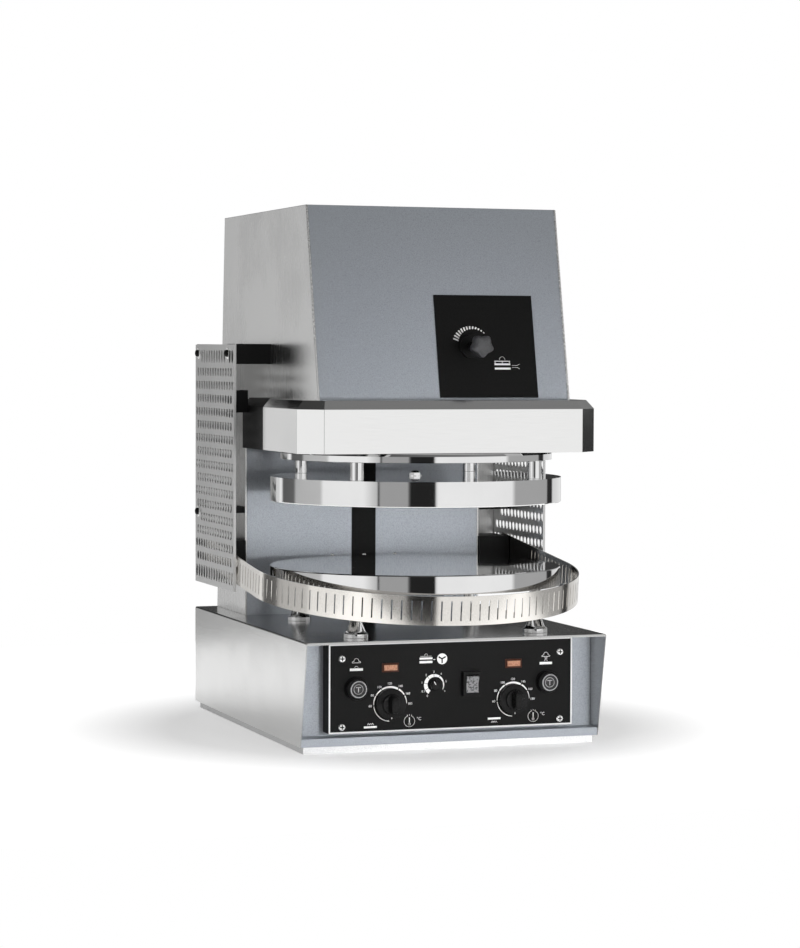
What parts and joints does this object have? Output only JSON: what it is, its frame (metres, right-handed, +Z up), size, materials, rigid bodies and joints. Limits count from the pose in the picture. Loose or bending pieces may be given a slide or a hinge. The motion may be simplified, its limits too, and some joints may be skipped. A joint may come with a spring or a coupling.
{
  "type": "heated pizza dough press",
  "caption": "Countertop hot press for pizza dough: round heated platens, sloped head on a column, safety ring, side guards and a front control fascia.",
  "frame": {"origin": "on the table under the middle of the machine's length and width", "axes": "+Z up, the operator stands at -Y, +X to the operator's right"},
  "size_m": [0.4732, 0.6237, 0.7225],
  "materials": {
    "steel": "fine brushed stainless sheet",
    "polished": "mirror-polished, hard-chromed",
    "hammer_grey": "grey-blue metallic powder coat, slightly speckled",
    "plinth_grey": "pale grey coat",
    "black_paint": "satin black coat",
    "black_plastic": "satin moulded",
    "device_plastic": "moulded housings behind the fascia",
    "button_grey": "satin moulded",
    "rocker_grey": "translucent grey moulded",
    "lamp_amber": "translucent amber lens",
    "black_steel": "blackened screw heads",
    "heater": "mica band heater in sheet steel",
    "frame_paint": "painted steel frame of the drive",
    "motor_aluminium": "die-cast housing",
    "chromed": "ground and chromed",
    "shaft_steel": "turned steel"
  },
  "bodies": {
    "frame": {"base_tray": "plinth_grey", "base_shell": "steel", "base_front_panel": "hammer_grey", "base_back_panel": "hammer_grey", "control_box": "black_paint", "control_fascia": "black_paint", "fascia_screws": "steel", "pilot_lamp_left": "lamp_amber", "pilot_lamp_right": "lamp_amber", "thermostat_left": "device_plastic", "thermostat_right": "device_plastic", "timer": "device_plastic", "rocker_frame": "black_plastic", "start_collar_left": "black_plastic", "start_collar_right": "black_plastic", "mains_gland": "black_plastic", "cone_front_left": "polished", "cone_front_right": "polished", "cone_rear_left": "polished", "cone_rear_right": "polished", "lower_platen": "polished", "lower_heater": "heater", "lower_pan": "steel", "side_sheet_left": "steel", "side_sheet_right": "steel", "column_panel": "hammer_grey", "column_strip": "black_paint", "top_cover": "hammer_grey", "head_front": "hammer_grey", "rear_cover": "hammer_grey", "panel_screws": "black_steel", "head_band": "steel", "band_end_left": "black_paint", "band_end_right": "black_paint", "knob_plate": "black_paint", "knob_collar": "black_plastic", "side_guard_left": "steel", "side_guard_right": "steel", "guard_brackets": "black_paint", "ring_block_left": "black_plastic", "ring_block_right": "black_plastic", "head_frame": "frame_paint", "gear_motor": "motor_aluminium"},
    "press": {"upper_platen": "polished", "upper_heater": "heater", "upper_cover": "polished", "centre_nut": "steel", "press_spacers": "polished", "carrier_disc": "polished", "ram": "chromed", "guide_rods": "chromed"},
    "lead_screw": {"lead_screw": "shaft_steel"},
    "thermostat_knob_left": {"thermostat_knob_left": "black_plastic"},
    "thermostat_knob_right": {"thermostat_knob_right": "black_plastic"},
    "timer_knob": {"timer_knob": "black_plastic"},
    "thickness_knob": {"thickness_knob": "black_plastic"},
    "mains_rocker": {"mains_rocker": "rocker_grey"},
    "start_button_left": {"start_button_left": "button_grey"},
    "start_button_right": {"start_button_right": "button_grey"},
    "safety_ring": {"safety_ring": "steel"}
  },
  "joints": [
    {"name": "press_stroke", "type": "slide", "parent": "frame", "child": "press", "axis": [0, 0, 1], "range_m": [-0.086, 0]},
    {"name": "screw_turn", "type": "hinge", "parent": "frame", "child": "lead_screw", "pos_m": [0, -0.0891, 0.5], "axis": [0, 0, 1], "range_deg": [0, 1937]},
    {"name": "thermostat_left_turn", "type": "hinge", "parent": "frame", "child": "thermostat_knob_left", "pos_m": [-0.087, -0.2401, 0.0635], "axis": [0, 1, 0], "range_deg": [0, 270]},
    {"name": "thermostat_right_turn", "type": "hinge", "parent": "frame", "child": "thermostat_knob_right", "pos_m": [0.087, -0.2401, 0.0635], "axis": [0, 1, 0], "range_deg": [0, 270]},
    {"name": "timer_turn", "type": "hinge", "parent": "frame", "child": "timer_knob", "pos_m": [-0.0255, -0.2401, 0.0865], "axis": [0, 1, 0], "range_deg": [-60, 210]},
    {"name": "thickness_turn", "type": "hinge", "parent": "frame", "child": "thickness_knob", "pos_m": [0.039, -0.19501, 0.53555], "axis": [0, 1, 0], "range_deg": [-135, 135]},
    {"name": "rocker_tilt", "type": "hinge", "parent": "frame", "child": "mains_rocker", "pos_m": [0.0265, -0.2431, 0.0865], "axis": [-1, 0, 0], "range_deg": [0, 16]},
    {"name": "start_left_press", "type": "slide", "parent": "frame", "child": "start_button_left", "axis": [0, 1, 0], "range_m": [0, 0.004], "stiffness_N_per_m": 300, "springref_m": -0.003},
    {"name": "start_right_press", "type": "slide", "parent": "frame", "child": "start_button_right", "axis": [0, 1, 0], "range_m": [0, 0.004], "stiffness_N_per_m": 300, "springref_m": -0.003},
    {"name": "ring_lift", "type": "hinge", "parent": "frame", "child": "safety_ring", "pos_m": [0, 0.1545, 0.24042], "axis": [-1, 0, 0], "range_deg": [0, 4]}
  ],
  "couplings": [
    {"joint": "screw_turn", "follows": "press_stroke", "rad_per_m": -392.7}
  ]
}
